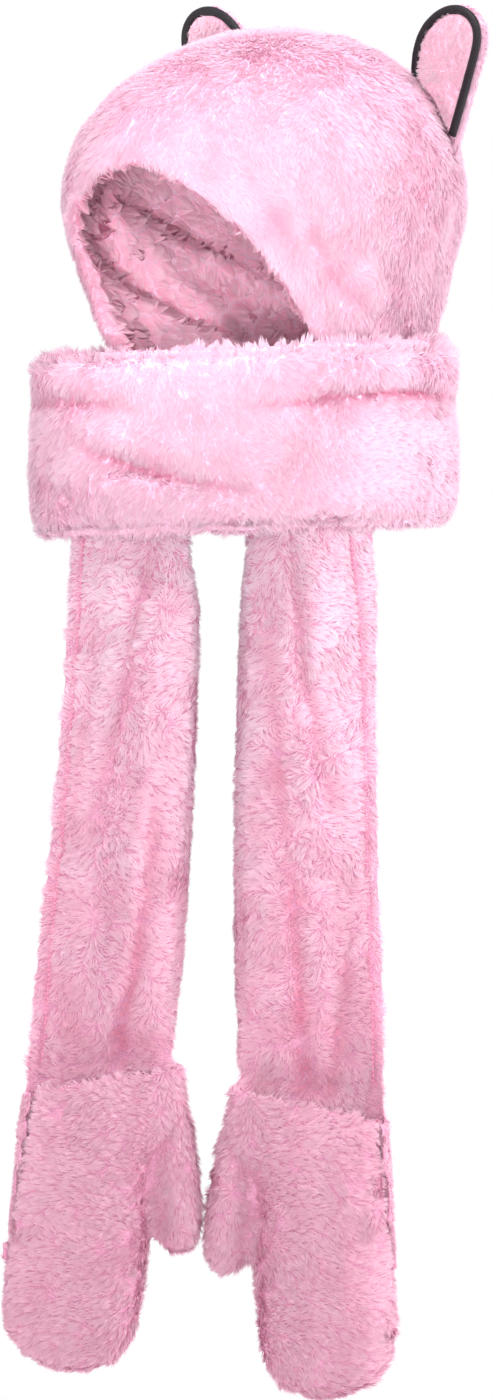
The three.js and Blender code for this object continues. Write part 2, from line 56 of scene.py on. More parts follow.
# The upright middle line of hood and wrap, and where it and the origin's height show in the view
AXIS = np.array([-12.04, -13.38, 0]) * MM
AXIS_COLUMN = 265
ORIGIN_ROW = 43

LIGHT_AIM = (0, 0, -0.4)


def place_facing(name, data, place, target):
    """Adds a camera or light that looks from a place to a target."""
    thing = bpy.data.objects.new(name, data)
    bpy.context.scene.collection.objects.link(thing)
    thing.location = place
    direction = Vector(target) - thing.location
    thing.rotation_euler = direction.to_track_quat("-Z", "Y").to_euler()
    return thing


def add_camera():
    data = bpy.data.cameras.new("camera")
    data.sensor_fit = "VERTICAL"
    data.sensor_height = SENSOR_HEIGHT
    data.lens = SENSOR_HEIGHT * VIEW_DISTANCE / (VIEW_ROWS * PIXEL)
    data.clip_end = 50
    place = (CAMERA_X, VIEW_PLANE_Y - VIEW_DISTANCE, CAMERA_Z)
    camera = place_facing("camera", data, place, (CAMERA_X, VIEW_PLANE_Y, AIM_Z))
    bpy.context.scene.camera = camera


def add_soft_light(name, place, size, power):
    """A round panel that faces the middle of the piece."""
    data = bpy.data.lights.new(name, "AREA")
    data.shape = "DISK"
    data.size = size
    data.energy = power
    place_facing(name, data, place, LIGHT_AIM)


def add_spot(name, place, size, cone, power, aim):
    """A narrow light with a soft edge, its cone in degrees."""
    data = bpy.data.lights.new(name, "SPOT")
    data.shadow_soft_size = size
    data.spot_size = math.radians(cone)
    data.spot_blend = 1.0
    data.energy = power
    place_facing(name, data, place, aim)


def add_world():
    """White to the camera, dimmer as light."""
    world = bpy.data.worlds.new("studio")
    bpy.context.scene.world = world
    world.use_nodes = True
    tree = world.node_tree
    tree.nodes.clear()
    output = tree.nodes.new("ShaderNodeOutputWorld")
    path = tree.nodes.new("ShaderNodeLightPath")
    mix = tree.nodes.new("ShaderNodeMixShader")
    tree.links.new(path.outputs["Is Camera Ray"], mix.inputs["Fac"])
    for socket, strength in ((1, 0.6), (2, 1.0)):
        background = tree.nodes.new("ShaderNodeBackground")
        background.inputs["Color"].default_value = (1, 1, 1, 1)
        background.inputs["Strength"].default_value = strength
        tree.links.new(background.outputs[0], mix.inputs[socket])
    tree.links.new(mix.outputs[0], output.inputs["Surface"])


add_camera()
add_world()
add_soft_light("key", (-0.6, -2.0, 1.3), 1.8, 12)
add_soft_light("front", (-0.25, -4.2, -0.4), 1.3, 90)
add_soft_light("left", (-3.0, -0.7, -0.3), 2.0, 46)
add_soft_light("right", (3.0, -0.7, -0.3), 2.0, 108)
add_soft_light("top", (0.1, -0.6, 2.2), 1.8, 96)
add_soft_light("back", (0.6, 3.6, 0.8), 1.8, 90)
add_spot("face", (-0.45, -3.0, -0.4), 0.15, 4.6, 370, (-0.11, 0, -0.105))
add_spot("nape", (0.3, -3.0, 0.38), 0.1, 3.9, 390, (-0.1, 0, -0.184))
bpy.context.scene.view_settings.view_transform = "Standard"


# Materials


def new_material(name):
    material = bpy.data.materials.new(name)
    material.use_nodes = True
    tree = material.node_tree
    return material, tree, tree.nodes["Principled BSDF"]


def set_cloth(shader, roughness, sheen, sheen_tint, specular=0.25):
    shader.inputs["Roughness"].default_value = roughness
    shader.inputs["Specular IOR Level"].default_value = specular
    shader.inputs["Sheen Weight"].default_value = sheen
    shader.inputs["Sheen Roughness"].default_value = 0.5
    shader.inputs["Sheen Tint"].default_value = (*sheen_tint, 1)


def srgb(*shade):
    """Scene colour from red, green and blue in 0-255 steps."""
    parts = [value / 255 for value in shade]
    return tuple(c / 12.92 if c <= 0.04045 else ((c + 0.055) / 1.055) ** 2.4 for c in parts)


def add_ramp(tree, start, end, positions=(0.0, 1.0)):
    """A ramp from one colour to another."""
    ramp = tree.nodes.new("ShaderNodeValToRGB")
    for element, color, position in zip(ramp.color_ramp.elements, (start, end), positions):
        element.color = (*color, 1)
        element.position = position
    return ramp


def add_texture(tree, kind, **values):
    """A texture in the object's own coordinates."""
    texture = tree.nodes.new(kind)
    for name, value in values.items():
        texture.inputs[name].default_value = value
    place = tree.nodes.new("ShaderNodeTexCoord")
    tree.links.new(place.outputs["Object"], texture.inputs["Vector"])
    return texture


def add_bump(tree, shader, height, strength, distance):
    bump = tree.nodes.new("ShaderNodeBump")
    bump.inputs["Strength"].default_value = strength
    bump.inputs["Distance"].default_value = distance
    tree.links.new(height, bump.inputs["Height"])
    tree.links.new(bump.outputs["Normal"], shader.inputs["Normal"])


def pile_material(name, root, tip, painted_fold_shade, mottle=(0.94, 1.02), through_share=0.5, sheen=0.4):
    """Fibres: deeper colour at the root, painted shade in folds, paler at the tip, each lock its own tone.

    The colour attribute "pile" holds the way up a fibre in red, its lock's tone in green and in
    blue how far its colour turns to the painted fold shade.
    """
    material, tree, shader = new_material(name)
    set_cloth(shader, 0.9, sheen, tip, 0.05)
    reader = tree.nodes.new("ShaderNodeAttribute")
    reader.attribute_name = "pile"
    split = tree.nodes.new("ShaderNodeSeparateColor")
    tree.links.new(reader.outputs["Color"], split.inputs[0])
    ramp = add_ramp(tree, root, tip, (0.05, 0.8))
    tree.links.new(split.outputs["Red"], ramp.inputs["Fac"])
    # Painted shade of folds, mixed in by the blue of "pile"
    with_painted_shade = tree.nodes.new("ShaderNodeMix")
    with_painted_shade.data_type = "RGBA"
    tree.links.new(split.outputs["Blue"], with_painted_shade.inputs["Factor"])
    tree.links.new(ramp.outputs["Color"], with_painted_shade.inputs["A"])
    with_painted_shade.inputs["B"].default_value = (*painted_fold_shade, 1)
    shade = tree.nodes.new("ShaderNodeMapRange")
    shade.inputs["To Min"].default_value = mottle[0]
    shade.inputs["To Max"].default_value = mottle[1]
    tree.links.new(split.outputs["Green"], shade.inputs["Value"])
    tinted = tree.nodes.new("ShaderNodeVectorMath")
    tinted.operation = "SCALE"
    tree.links.new(with_painted_shade.outputs["Result"], tinted.inputs[0])
    tree.links.new(shade.outputs["Result"], tinted.inputs["Scale"])
    tree.links.new(tinted.outputs["Vector"], shader.inputs["Base Color"])
    through = tree.nodes.new("ShaderNodeBsdfTranslucent")
    tree.links.new(tinted.outputs["Vector"], through.inputs["Color"])
    both = tree.nodes.new("ShaderNodeMixShader")
    both.inputs["Fac"].default_value = through_share
    tree.links.new(shader.outputs[0], both.inputs[1])
    tree.links.new(through.outputs[0], both.inputs[2])
    tree.links.new(both.outputs[0], tree.nodes["Material Output"].inputs["Surface"])
    return material


def backing_material(name, dark, pale):
    """The knitted ground under the pile, mottled where locks part."""
    material, tree, shader = new_material(name)
    set_cloth(shader, 0.9, 0.1, pale)
    noise = add_texture(tree, "ShaderNodeTexNoise", Scale=170, Detail=4)
    ramp = add_ramp(tree, dark, pale, (0.3, 0.7))
    tree.links.new(noise.outputs["Fac"], ramp.inputs["Fac"])
    tree.links.new(ramp.outputs["Color"], shader.inputs["Base Color"])
    fine = add_texture(tree, "ShaderNodeTexNoise", Scale=600, Detail=3)
    add_bump(tree, shader, fine.outputs["Fac"], 0.6, 1.5 * MM)
    return material


def piping_material():
    """Smooth dark woven piping with a fine diagonal rib."""
    material, tree, shader = new_material("dark_piping")
    set_cloth(shader, 0.55, 0.1, srgb(120, 110, 125), 0.3)
    wave = add_texture(tree, "ShaderNodeTexWave", Scale=420, Distortion=1.2)
    wave.bands_direction = "DIAGONAL"
    ramp = add_ramp(tree, srgb(10, 8, 12), srgb(30, 24, 32))
    tree.links.new(wave.outputs["Fac"], ramp.inputs["Fac"])
    tree.links.new(ramp.outputs["Color"], shader.inputs["Base Color"])
    add_bump(tree, shader, wave.outputs["Fac"], 0.5, 0.4 * MM)
    return material


def plain_material(name, color, roughness):
    material, _, shader = new_material(name)
    shader.inputs["Base Color"].default_value = (*color, 1)
    shader.inputs["Roughness"].default_value = roughness
    return material, shader


PALE = {"root": srgb(239, 199, 218), "tip": srgb(244, 220, 233), "painted_fold_shade": srgb(232, 146, 180)}
ROSE = {"root": srgb(238, 202, 220), "tip": srgb(247, 231, 241), "painted_fold_shade": srgb(234, 149, 180)}
DEEP_ROSE = {"root": srgb(226, 171, 195), "tip": srgb(238, 203, 218), "painted_fold_shade": srgb(214, 126, 158)}
EAR = {"root": srgb(248, 212, 227), "tip": srgb(252, 234, 243), "painted_fold_shade": srgb(236, 168, 194)}
# The lining's pile: the plush deeper in pink as painted shade of the hood's inside, its tips kept bright as
# painted light where little light reaches
INNER_PAINTED_SHADE_AND_LIGHT = {"root": srgb(245, 178, 204), "tip": srgb(255, 216, 231), "painted_fold_shade": srgb(230, 138, 170)}
INNER_LIGHT = {"mottle": (0.86, 1.06), "through_share": 0.22, "sheen": 0.2}
pile_looks = {
    "pale": pile_material("plush_pale_pile", **PALE),
    "rose": pile_material("plush_rose_pile", **ROSE),
    "deep_rose": pile_material("plush_deep_rose_pile", **DEEP_ROSE),
    "ear": pile_material("plush_ear_pile", **EAR),
    "inner": pile_material("plush_inner_pile_painted_shade_and_light", **INNER_PAINTED_SHADE_AND_LIGHT, **INNER_LIGHT),
}
backing_looks = {
    "pale": backing_material("plush_pale_backing", srgb(224, 180, 202), srgb(232, 194, 213)),
    "rose": backing_material("plush_rose_backing", srgb(186, 124, 152), srgb(200, 142, 168)),
    # The welt's deep pink is painted shade that stands in for the shade in the seam's gap
    "welt": backing_material("plush_welt_painted_shade", srgb(212, 124, 156), srgb(224, 146, 174)),
    "ear": backing_material("plush_ear_backing", srgb(232, 180, 200), srgb(240, 196, 214)),
}
piping = piping_material()


# Mesh arrays


def unit(v):
    return v / np.maximum(np.linalg.norm(v, axis=-1, keepdims=True), 1e-12)


def rise(value, start, end):
    """0 at start, 1 at end and even in between."""
    return np.clip((value - start) / (end - start), 0, 1)


def blend(a, b, share):
    return a + (b - a) * np.clip(share, 0, 1)[:, None]


class Surface:
    """A closed mesh as arrays, with its normals."""

    def __init__(self, mesh):
        count = len(mesh.vertices)
        self.points = np.empty(count * 3)
        mesh.vertices.foreach_get("co", self.points)
        self.points = self.points.reshape(-1, 3)
        self.faces = [tuple(p.vertices) for p in mesh.polygons]
        mesh.calc_loop_triangles()
        tris = np.empty(len(mesh.loop_triangles) * 3, np.int64)
        mesh.loop_triangles.foreach_get("vertices", tris)
        self.tris = tris.reshape(-1, 3)
        edges = np.empty(len(mesh.edges) * 2, np.int64)
        mesh.edges.foreach_get("vertices", edges)
        edges = edges.reshape(-1, 2)
        # Each edge both ways, from its first end to its last
        self.first, self.last = np.concatenate([edges, edges[:, ::-1]]).T
        self.degree = np.bincount(self.first, minlength=count)
        self.update()

    def update(self):
        a, b, c = (self.points[self.tris[:, k]] for k in range(3))
        cross = np.cross(b - a, c - a)
        self.areas = np.linalg.norm(cross, axis=1) / 2
        sums = np.zeros_like(self.points)
        for k in range(3):
            for axis in range(3):
                sums[:, axis] += np.bincount(self.tris[:, k], cross[:, axis], len(self.points))
        self.normals = unit(sums)

    def around(self, values):
        """The mean of one value per point over each point's neighbours."""
        return np.bincount(self.first, values[self.last], len(self.points)) / self.degree

    def smooth(self, rounds):
        """Evens the surface out. The step back after each step keeps its volume."""
        for _ in range(rounds):
            for factor in (0.5, -0.53):
                means = np.stack([self.around(self.points[:, axis]) for axis in range(3)], axis=1)
                self.points += factor * (means - self.points)
        self.update()

    def spread(self, values, rounds):
        """Smooths one value per point along the edges."""
        for _ in range(rounds):
            values = 0.5 * values + 0.5 * self.around(values)
        return values

    def tree(self):
        return BVHTree.FromPolygons(self.points.tolist(), self.faces)

    def mesh(self, name):
        return smooth_mesh(name, self.points.tolist(), self.faces)


def smooth_mesh(name, points, faces):
    mesh = bpy.data.meshes.new(name)
    mesh.from_pydata(points, [], faces)
    mesh.polygons.foreach_set("use_smooth", np.ones(len(faces), bool))
    mesh.update()
    return mesh


def joined(nodes):
    """The meshes of these nodes as one, in the frame."""
    points, faces = [], []
    for node in nodes:
        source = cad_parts[node]
        start = len(points)
        points += [tuple(source.matrix_world @ v.co) for v in source.data.vertices]
        faces += [tuple(start + i for i in p.vertices) for p in source.data.polygons]
    mesh = bpy.data.meshes.new("joined")
    mesh.from_pydata(points, [], faces)
    return mesh


def remeshed(nodes, voxel):
    """The solids of these nodes as one even mesh of about this edge length."""
    holder = bpy.data.objects.new("holder", joined(nodes))
    bpy.context.scene.collection.objects.link(holder)
    modifier = holder.modifiers.new("voxels", "REMESH")
    modifier.mode = "VOXEL"
    modifier.voxel_size = voxel
    modifier.adaptivity = 0
    graph = bpy.context.evaluated_depsgraph_get()
    mesh = bpy.data.meshes.new_from_object(holder.evaluated_get(graph))
    bpy.data.objects.remove(holder)
    return Surface(mesh)


class Waves:
    """Smooth noise as a sum of waves of about one length, for a whole array of points."""

    def __init__(self, length, seed, count=14):
        rng = np.random.default_rng(seed)
        self.k = unit(rng.normal(size=(count, 3))) * rng.uniform(0.7, 1.4, (count, 1))
        self.k *= 2 * math.pi / length
        self.phase = rng.uniform(0, 2 * math.pi, count)
        self.scale = math.sqrt(2 / count)

    def __call__(self, points):
        return np.sin(points @ self.k.T + self.phase).sum(axis=1) * self.scale


def add_piece(name, mesh, material):
    mesh.materials.clear()
    mesh.materials.append(material)
    piece = bpy.data.objects.new(name, mesh)
    bpy.context.scene.collection.objects.link(piece)
    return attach(piece, "root")


# The skins: each node's solid, evened, softened and drawn in by the pile's height. Voxel and
# inset are in mm, smooth is the rounds of smoothing.

PALE_SKIN = {"look": "pale", "slot": "plush_pale"}
ROSE_SKIN = {"look": "rose", "slot": "plush_rose"}
EAR_SKIN = {"look": "ear", "slot": "plush_ear"}
SKINS = {
    "hood": {"voxel": 4.2, "smooth": 10, "inset": 2.6, **PALE_SKIN},
    "neck_wrap": {"voxel": 4.2, "smooth": 10, "inset": 2.8, **PALE_SKIN},
}
for side in SIDES:
    tail = {"nodes": ["tail_" + side, "mitten_back_" + side], "voxel": 3.4, "smooth": 8, "inset": 2.2}
    mitten = {"voxel": 3.0, "smooth": 8, "inset": 2.2, "pile": "deep_rose"}
    SKINS["tail_" + side] = {**tail, **ROSE_SKIN}
    SKINS["mitten_front_" + side] = {**mitten, **ROSE_SKIN}
    SKINS["ear_back_" + side] = {"voxel": 2.0, "smooth": 6, "inset": 1.6, **PALE_SKIN}
    SKINS["ear_panel_" + side] = {"voxel": 1.2, "smooth": 3, "inset": 0.3, **EAR_SKIN}

COVER_REACH = 45 * MM  # cloth within this distance covers a point
COVER_RAYS = 4
COVER_START = 0.6 * MM  # off the skin, so that no ray meets it at once
LEAST_INSET = 0.15  # share of the inset where other cloth covers the skin
WRAP_CORNER = 17  # mm, radius of the wrap's outer corners
WRAP_CORNER_CUT = 9  # mm, the most that comes off there
MITTEN_TOP = (-0.685, -0.705)  # heights over which the tail becomes the mitten's back
MITTEN_BACK_CUT = 1.5  # mm
CREASE_WIDTH = 0.6  # of its fold's
FULL_CREASE = 5  # mm, the depth from which a crease has its full effect
ROOF_Z = -0.08  # above this the lining faces down
CROWN_Z = -0.06  # above this the hood's outside faces up


def openness(surface, trees):
    """For each point, the share of outward rays that meet no other cloth nearby."""
    rng = np.random.default_rng(5)
    jitter = rng.normal(size=(COVER_RAYS, 3)) * 0.45
    free = np.zeros(len(surface.points))
    for i, (point, normal) in enumerate(zip(surface.points, surface.normals)):
        start = Vector(point + normal * COVER_START)
        for offset in jitter:
            ray = Vector(normal + offset).normalized()
            if all(tree.ray_cast(start, ray, COVER_REACH)[0] is None for tree in trees):
                free[i] += 1 / COVER_RAYS
    return surface.spread(free, 3)


# Folds by node, each with how wide it is to either side and its line of (across, down, depth in
# mm). Widths and places are in steps of one PIXEL, from the top left of the view. Depths below 0
# are ridges.
WRAP_FOLDS = {
    "crease_under_rim": (
        6,
        [(466, 397, 9), (430, 393, 9), (380, 393, 8), (330, 398, 5.5), (280, 403, 3), (235, 404, 0)],
    ),
    "roll_over_crease": (17, [(455, 372, -3.5), (380, 370, -3.5), (300, 374, -2.6), (220, 380, 0)]),
    "crease_at_far_rim": (7, [(26, 402, 3), (60, 400, 4), (100, 403, 3), (150, 408, 0)]),
    "slanting_crease": (
        8,
        [(62, 428, 0), (90, 452, 3), (125, 464, 5), (165, 474, 5), (205, 482, 4), (255, 490, 0)],
    ),
    "ridge_below_slant": (15, [(80, 478, -1), (130, 490, -2.4), (190, 500, -2), (250, 508, 0)]),
    "ridge_above_slant": (14, [(60, 425, -1), (120, 436, -2.2), (190, 448, -1.6), (250, 455, 0)]),
}
HOOD_FOLDS = {
    "cheek_hollow": (11, [(300, 212, 0), (314, 235, 2.2), (325, 262, 2.6), (352, 298, 2.2), (385, 315, 0)]),
    "cheek_ridge": (16, [(330, 205, 0), (352, 245, -2.2), (392, 290, -1.8), (420, 312, 0)]),
    "brow_hollow": (13, [(232, 150, 0), (262, 200, 2.0), (285, 238, 2.2), (300, 285, 0)]),
    "nape_hollow": (18, [(400, 120, 0), (425, 180, 1.8), (438, 240, 1.5), (440, 300, 0)]),
}
LINING_FOLDS = {
    "lower_crease": (9, [(84, 218, 3), (98, 247, 6), (140, 281, 7), (190, 312, 6), (245, 334, 3)]),
    "lower_roll": (12, [(86, 255, -3), (110, 285, -5), (150, 312, -5), (200, 336, -3)]),
    "middle_crease": (8, [(172, 262, 0), (205, 282, 4.5), (250, 303, 5), (300, 326, 4)]),
    "middle_roll": (10, [(180, 246, 0), (225, 268, -4), (275, 292, -4), (305, 312, -2)]),
    "upper_crease": (9, [(110, 185, 0), (150, 205, 3), (195, 232, 3), (232, 262, 0)]),
}
RIGHT_TAIL_FOLDS = {
    "parting": (
        9,
        [
            (152, 545, 1),
            (146, 585, 3),
            (132, 645, 3.5),
            (120, 700, 3.2),
            (106, 760, 2.6),
            (92, 830, 1),
            (86, 880, 0),
        ],
    ),
    "inner_ridge": (15, [(160, 560, -2), (160, 660, -1.5), (140, 760, -2), (112, 870, -2), (90, 960, 0)]),
    "inner_hollow": (13, [(158, 760, 0), (152, 850, 3), (140, 930, 4), (128, 1000, 4), (116, 1062, 4)]),
    "crease_by_stitches": (8, [(96, 600, 0), (86, 700, 1.6), (74, 820, 1.2), (68, 900, 0)]),
}
LEFT_TAIL_FOLDS = {
    "parting": (
        8,
        [(288, 530, 1), (294, 590, 3), (303, 660, 3.5), (311, 710, 3), (328, 780, 2), (334, 850, 0)],
    ),
    "inner_hollow": (
        15,
        [(262, 560, 1), (270, 640, 2), (276, 720, 2.6), (288, 850, 3), (304, 980, 3.5), (303, 1085, 4)],
    ),
    "outer_ridge": (14, [(315, 560, 0), (335, 660, -2.2), (350, 800, -2), (350, 950, -1.5), (345, 1040, 0)]),
    "crease_by_stitches": (9, [(352, 900, 0), (346, 960, 2), (336, 1040, 2.6), (330, 1090, 2)]),
}
RIGHT_MITTEN_FOLDS = {
    "thumb_crease": (8, [(184, 1106, 0), (169, 1134, 3), (154, 1164, 4.2), (150, 1204, 4.2)]),
    "palm_hollow": (13, [(160, 1172, 1.4), (163, 1225, 1.6)]),
}
LEFT_MITTEN_FOLDS = {
    "thumb_crease": (8, [(222, 1132, 0), (238, 1158, 3), (251, 1187, 4.2), (254, 1220, 4.2)]),
    "palm_hollow": (13, [(245, 1196, 1.4), (241, 1250, 1.6)]),
}
FOLDS = {
    "neck_wrap": WRAP_FOLDS,
    "hood": HOOD_FOLDS,
    "hood_lining": LINING_FOLDS,
    "tail_right": RIGHT_TAIL_FOLDS,
    "tail_left": LEFT_TAIL_FOLDS,
    "mitten_front_right": RIGHT_MITTEN_FOLDS,
    "mitten_front_left": LEFT_MITTEN_FOLDS,
}


def seen_at(points):
    """Where points show in the view, across and down, in steps of one PIXEL."""
    reach = (VIEW_DISTANCE + points[:, 1] - VIEW_PLANE_Y) / VIEW_DISTANCE
    across = CAMERA_X + (points[:, 0] - CAMERA_X) / reach
    level = CAMERA_Z + (points[:, 2] - CAMERA_Z) / reach
    return np.stack([AXIS_COLUMN + (across - AXIS[0]) / PIXEL, ORIGIN_ROW - level / PIXEL], axis=1)


def line_field(places, line):
    """Distance from each place to a line, and the line's last value at the nearest spot."""
    best = np.full(len(places), 1e9)
    value = np.zeros(len(places))
    for (x0, y0, v0), (x1, y1, v1) in zip(line, line[1:]):
        start, run = np.array([x0, y0]), np.array([x1 - x0, y1 - y0])
        share = np.clip(((places - start) @ run) / (run @ run), 0, 1)
        gap = np.linalg.norm(places - start - share[:, None] * run, axis=1)
        nearer = gap < best
        best = np.where(nearer, gap, best)
        value = np.where(nearer, v0 + (v1 - v0) * share, value)
    return best, value


def folding(key, points):
    """How deep the folds press in at these points, in mm, and how much of that is narrow crease."""
    places = seen_at(points)
    depth = np.zeros(len(points))
    crease = np.zeros(len(points))
    for half, line in FOLDS.get(key, {}).values():
        gap, value = line_field(places, line)
        depth += value * np.exp(-((gap / half) ** 2))
        crease += np.maximum(value, 0) * np.exp(-((gap / (half * CREASE_WIDTH)) ** 2))
    return depth, np.clip(crease / FULL_CREASE, 0, 1)


def outward_of(points):
    """Away from the upright middle line of hood and wrap."""
    return unit((points - AXIS) * (1, 1, 0))


def lining_share(surface):
    """How far each point of the hood belongs to its lining."""
    points, normals = surface.points, surface.normals
    outward = (normals[:, :2] * (points - AXIS)[:, :2]).sum(axis=1) > 0
    roof = (normals[:, 2] < -0.3) & (points[:, 2] > ROOF_Z)
    top = (normals[:, 2] > 0.3) & (points[:, 2] > CROWN_Z)
    return surface.spread(((~outward & ~top) | roof).astype(float), 2)


def rim_gap(points, sectors=72):
    """How far each point of the wrap's loop lies from its nearer rim at that side, in mm."""
    way = outward_of(points)
    angle = np.arctan2(way[:, 1], way[:, 0])
    sector = ((angle / (2 * math.pi) + 1) * sectors).astype(int) % sectors
    low, high = np.full(sectors, np.inf), np.full(sectors, -np.inf)
    np.minimum.at(low, sector, points[:, 2])
    np.maximum.at(high, sector, points[:, 2])
    middles = (np.arange(sectors) + 0.5) / sectors * 2 * math.pi
    rims = []
    for rim in (low, high):
        for _ in range(3):
            rim = (np.roll(rim, 1) + rim + np.roll(rim, -1)) / 3
        rims.append(np.interp(angle % (2 * math.pi), middles, rim, period=2 * math.pi))
    return np.minimum(points[:, 2] - rims[0], rims[1] - points[:, 2]) / MM


def trimmed(node, surface):
    """What more comes off, in mm: the wrap's outer corners, and the mitten's back behind its front."""
    points, normals = surface.points, surface.normals
    if node == "neck_wrap":
        outer = (normals * outward_of(points)).sum(axis=1)
        into_corner = np.clip(WRAP_CORNER - rim_gap(points), 0, WRAP_CORNER)
        rounded = WRAP_CORNER - np.sqrt(WRAP_CORNER**2 - into_corner**2)
        return np.minimum(rounded, WRAP_CORNER_CUT) * np.clip(outer * 1.6 + 0.3, 0, 1)
    if node.startswith("tail"):
        inward = normals[:, 0] * (1 if node == "tail_right" else -1)
        share = np.clip(np.maximum(inward, -normals[:, 2]) * 1.5, 0, 1)
        return MITTEN_BACK_CUT * share * rise(points[:, 2], *MITTEN_TOP)
    return 0


def skin_folds(node, points):
    """The folds of one skin. The hood's outside and its lining each have their own."""
    depth, crease = folding(node, points)
    if node == "hood":
        lining_depth, lining_crease = folding("hood_lining", points)
        depth = depth * (1 - lining) + lining_depth * lining
        crease = crease * (1 - lining) + lining_crease * lining
    return depth, crease


def add_skin(node, row):
    """One node's skin. Gives back how much of a narrow crease each of its points has."""
    surface = surfaces[node]
    facing = np.clip(-surface.normals[:, 1] * 1.6 + 0.1, 0, 1)
    depth, crease = skin_folds(node, surface.points)
    drawn = row["inset"] * (LEAST_INSET + (1 - LEAST_INSET) * open_share[node])
    drawn = drawn + depth * facing * open_share[node] + trimmed(node, surface)
    surface.points -= surface.normals * (drawn * MM)[:, None]
    surface.update()
    surface.smooth(2)
    name = node + "_skin"
    skin = add_piece(name, surface.mesh(name), backing_looks[row["look"]])
    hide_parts(*row.get("nodes", [node]))
    return crease * facing


surfaces = {}
for node, row in SKINS.items():
    surfaces[node] = remeshed(row.get("nodes", [node]), row["voxel"] * MM)
    surfaces[node].smooth(row["smooth"])
lining = lining_share(surfaces["hood"])
covers = [surface.tree() for node, surface in surfaces.items() if not node.startswith("ear")]
open_share = {}
for node, surface in surfaces.items():
    if node.startswith("ear"):
        open_share[node] = np.ones(len(surface.points))
    else:
        open_share[node] = openness(surface, covers)
creases = {node: add_skin(node, row) for node, row in SKINS.items()}


# The pile: joined meshes of tapering fibres gathered in locks. A style has the fibres' width in
# mm, how many make a lock, how far those are pulled together, the lean, the spread of its
# direction, how much of a fibre's own turn shows in its shading, and how uneven the tones are.

LONG = {
    "width": 1.0,
    "lock": 30,
    "gather": 0.45,
    "lean": (1.0, 2.6),
    "spread": 0.24,
    "own": 0.36,
    "mottle": 0.14,
}
SLEEK = {**LONG, "gather": 0.3, "lean": (1.4, 3.2), "spread": 0.18, "own": 0.16, "mottle": 0.06}
LINING = {**LONG, "lock": 42, "gather": 1.0, "lean": (0.4, 1.1), "own": 0.5, "mottle": 0.22}
SHORT = {**LONG, "width": 0.8, "lock": 24, "gather": 0.4, "lean": (0.9, 2.4)}
DOWN = np.array([0.0, 0.0, -1.0])

# Wave lengths in mm: of the slow and the quick turns of the nap, of the fibres' length and tone
SLOW_WAVE = 60
QUICK_WAVE = 19
LENGTH_WAVE = 24
TONE_WAVE = 34


def sample(surface, weights, count, rng):
    """Random places on a surface: a way to read values there, the points and their normals."""
    share = surface.areas * weights[surface.tris].mean(axis=1)
    pick = rng.choice(len(share), size=count, p=share / share.sum())
    u, v = rng.random(count), rng.random(count)
    flip = u + v > 1
    u[flip], v[flip] = 1 - u[flip], 1 - v[flip]
    corner = np.stack([1 - u - v, u, v], axis=1)
    tri = surface.tris[pick]

    def at(values):
        shares = corner[:, :, None] if values.ndim > 1 else corner
        return (values[tri] * shares).sum(axis=1)

    return at, at(surface.points), unit(at(surface.normals))


def fibre_tips(points, normals, comb, length, stand, style, rng):
    """Where each fibre ends, pulled towards the head of its lock, and which fibre that head is."""
    count = len(points)

    def flat(v):
        return v - normals * (v * normals).sum(axis=1, keepdims=True)

    tangent = unit(flat(comb))
    tangent = unit(tangent + flat(rng.normal(size=(count, 3)) * style["spread"]))
    lean = rng.uniform(*style["lean"], count) * (1 - 0.8 * stand)
    tip = points + unit(normals + tangent * lean[:, None]) * length[:, None]
    heads = rng.choice(count, size=max(1, count // style["lock"]), replace=False)
    finder = KDTree(len(heads))
    for k, head in enumerate(heads):
        finder.insert(points[head], k)
    finder.balance()
    head_of = heads[np.array([finder.find(p)[1] for p in points])]
    pull = (rng.uniform(0.6, 1.1, count) * style["gather"])[:, None]
    return tip + (tip[head_of] - tip) * pull, head_of


def blade_mesh(name, vertices):
    """A mesh of loose triangles from an array of their corners."""
    count = len(vertices)
    mesh = bpy.data.meshes.new(name)
    mesh.vertices.add(count * 3)
    mesh.vertices.foreach_set("co", vertices.reshape(-1))
    mesh.loops.add(count * 3)
    mesh.loops.foreach_set("vertex_index", np.arange(count * 3))
    mesh.polygons.add(count)
    mesh.polygons.foreach_set("loop_start", np.arange(count) * 3)
    mesh.polygons.foreach_set("use_smooth", np.ones(count, bool))
    mesh.update(calc_edges=True)
    return mesh


def grow(name, points, normals, comb, length, painted_shade_and_tone, stand, facing, look, slot, rng, style):
    """Fibres from these roots, each a thin tapering blade.

    comb is the way they lean, length each one's own in metres, painted_shade_and_tone how far its
    colour turns to the painted fold shade, stand how far it stays upright and facing the way the
    soft mass of locks around it faces.
    """
    count = len(points)
    tip, head_of = fibre_tips(points, normals, comb, length, stand, style, rng)
    along = unit(tip - points)
    side = unit(np.cross(along, facing))
    roll = rng.normal(size=count)[:, None] * 0.35
    side = unit(side * np.cos(roll) + np.cross(along, side) * np.sin(roll))
    half = (rng.uniform(0.7, 1.25, count) * style["width"] * MM / 2)[:, None]
    face = unit(np.cross(side, along))
    turned = (face * facing).sum(axis=1, keepdims=True) < 0
    side, face = np.where(turned, -side, side), np.where(turned, -face, face)
    mesh = blade_mesh(name, np.stack([points - side * half, points + side * half, tip], axis=1))
    # Light falls on the locks as on one soft surface, with a little of each fibre's own turn
    soft = unit(facing + face * style["own"] + along * 0.12)[:, None]
    edge = (side * 0.25)[:, None] * np.array([-1, 1, 0])[None, :, None]
    mesh.normals_split_custom_set_from_vertices(unit(soft + edge).reshape(-1, 3).tolist())
    tone = 0.5 + style["mottle"] * (rng.normal(size=count)[head_of] + 0.6 * rng.normal(size=count))
    colors = np.ones((count, 3, 4))
    colors[:, :, 0] = np.array([0.1, 0.1, 1.0])
    colors[:, :, 1] = np.clip(tone, 0, 1)[:, None]
    colors[:, :, 2] = painted_shade_and_tone[:, None]
    layer = mesh.color_attributes.new("pile", "FLOAT_COLOR", "POINT")
    layer.data.foreach_set("color", colors.reshape(-1))
    return add_piece(name, mesh, pile_looks[look])


# Naps: the way the pile is brushed at each point

